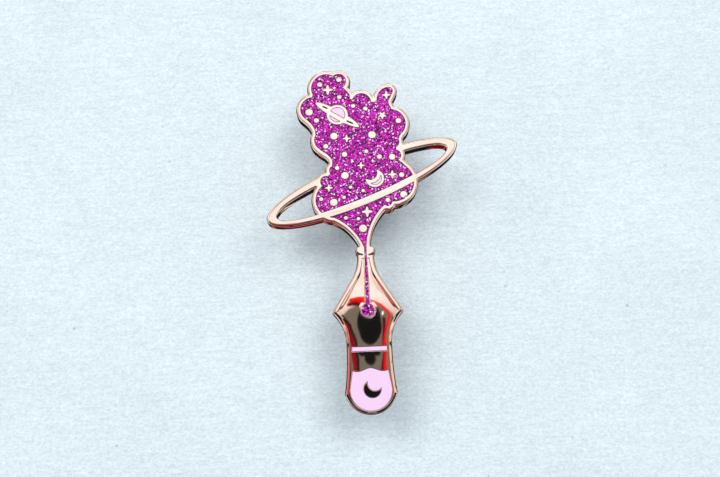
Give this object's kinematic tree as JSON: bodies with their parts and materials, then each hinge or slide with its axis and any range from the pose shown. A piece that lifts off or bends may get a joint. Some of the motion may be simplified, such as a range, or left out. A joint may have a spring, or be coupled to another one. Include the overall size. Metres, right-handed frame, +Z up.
{
  "type": "lapel pin",
  "caption": "Hard-enamel lapel pin: pen nib with a glittery galaxy cloud and planet ring, on posts held by ball-lock clutches.",
  "frame": {"origin": "flat back of the plate, on the nib's slit, at the height of the breather hole", "axes": "+Y out of the back towards the clutches, +Z up the nib towards the cloud, +X to the viewer's right"},
  "size_m": [0.0281, 0.0113, 0.0509],
  "materials": {
    "plated_metal": "polished",
    "glitter_enamel": "gloss",
    "lilac_enamel": "gloss",
    "clutch_plating": "polished",
    "clutch_brass": "satin",
    "hard_steel": "polished"
  },
  "bodies": {
    "pin": {"plate": "plated_metal", "enamel_cloud_upper": "glitter_enamel", "enamel_cloud_lower": "glitter_enamel", "enamel_planet_upper": "lilac_enamel", "enamel_planet_lower": "lilac_enamel", "enamel_moon": "lilac_enamel", "enamel_nib_band": "lilac_enamel", "enamel_nib_body": "lilac_enamel", "post_lower": "plated_metal", "post_upper": "plated_metal"},
    "lower_clutch": {"clutch_lower_shell": "clutch_plating", "clutch_lower_lid": "clutch_plating"},
    "lower_pull": {"clutch_lower_cage": "clutch_brass", "clutch_lower_head": "clutch_plating", "clutch_lower_spring": "hard_steel"},
    "lower_ball_1": {"clutch_lower_ball_1": "hard_steel"},
    "lower_ball_2": {"clutch_lower_ball_2": "hard_steel"},
    "lower_ball_3": {"clutch_lower_ball_3": "hard_steel"},
    "upper_clutch": {"clutch_upper_shell": "clutch_plating", "clutch_upper_lid": "clutch_plating"},
    "upper_pull": {"clutch_upper_cage": "clutch_brass", "clutch_upper_head": "clutch_plating", "clutch_upper_spring": "hard_steel"},
    "upper_ball_1": {"clutch_upper_ball_1": "hard_steel"},
    "upper_ball_2": {"clutch_upper_ball_2": "hard_steel"},
    "upper_ball_3": {"clutch_upper_ball_3": "hard_steel"}
  },
  "joints": [
    {"name": "lower_clutch_slide", "type": "slide", "parent": "pin", "child": "lower_clutch", "axis": [0, 1, 0], "range_m": [0, 0.012]},
    {"name": "lower_pull_slide", "type": "slide", "parent": "lower_clutch", "child": "lower_pull", "axis": [0, 1, 0], "range_m": [0, 0.0008], "deforming": ["clutch_lower_spring"]},
    {"name": "lower_ball_1_slide", "type": "slide", "parent": "lower_pull", "child": "lower_ball_1", "axis": [0, 0, -1], "range_m": [0, 0.00022]},
    {"name": "lower_ball_2_slide", "type": "slide", "parent": "lower_pull", "child": "lower_ball_2", "axis": [-0.866, 0, 0.5], "range_m": [0, 0.00022]},
    {"name": "lower_ball_3_slide", "type": "slide", "parent": "lower_pull", "child": "lower_ball_3", "axis": [0.866, 0, 0.5], "range_m": [0, 0.00022]},
    {"name": "upper_clutch_slide", "type": "slide", "parent": "pin", "child": "upper_clutch", "axis": [0, 1, 0], "range_m": [0, 0.012]},
    {"name": "upper_pull_slide", "type": "slide", "parent": "upper_clutch", "child": "upper_pull", "axis": [0, 1, 0], "range_m": [0, 0.0008], "deforming": ["clutch_upper_spring"]},
    {"name": "upper_ball_1_slide", "type": "slide", "parent": "upper_pull", "child": "upper_ball_1", "axis": [0, 0, -1], "range_m": [0, 0.00022]},
    {"name": "upper_ball_2_slide", "type": "slide", "parent": "upper_pull", "child": "upper_ball_2", "axis": [-0.866, 0, 0.5], "range_m": [0, 0.00022]},
    {"name": "upper_ball_3_slide", "type": "slide", "parent": "upper_pull", "child": "upper_ball_3", "axis": [0.866, 0, 0.5], "range_m": [0, 0.00022]}
  ],
  "couplings": [
    {"joint": "lower_ball_1_slide", "follows": "lower_pull_slide", "ratio": 0.26795},
    {"joint": "lower_ball_2_slide", "follows": "lower_pull_slide", "ratio": 0.26795},
    {"joint": "lower_ball_3_slide", "follows": "lower_pull_slide", "ratio": 0.26795},
    {"joint": "upper_ball_1_slide", "follows": "upper_pull_slide", "ratio": 0.26795},
    {"joint": "upper_ball_2_slide", "follows": "upper_pull_slide", "ratio": 0.26795},
    {"joint": "upper_ball_3_slide", "follows": "upper_pull_slide", "ratio": 0.26795}
  ]
}
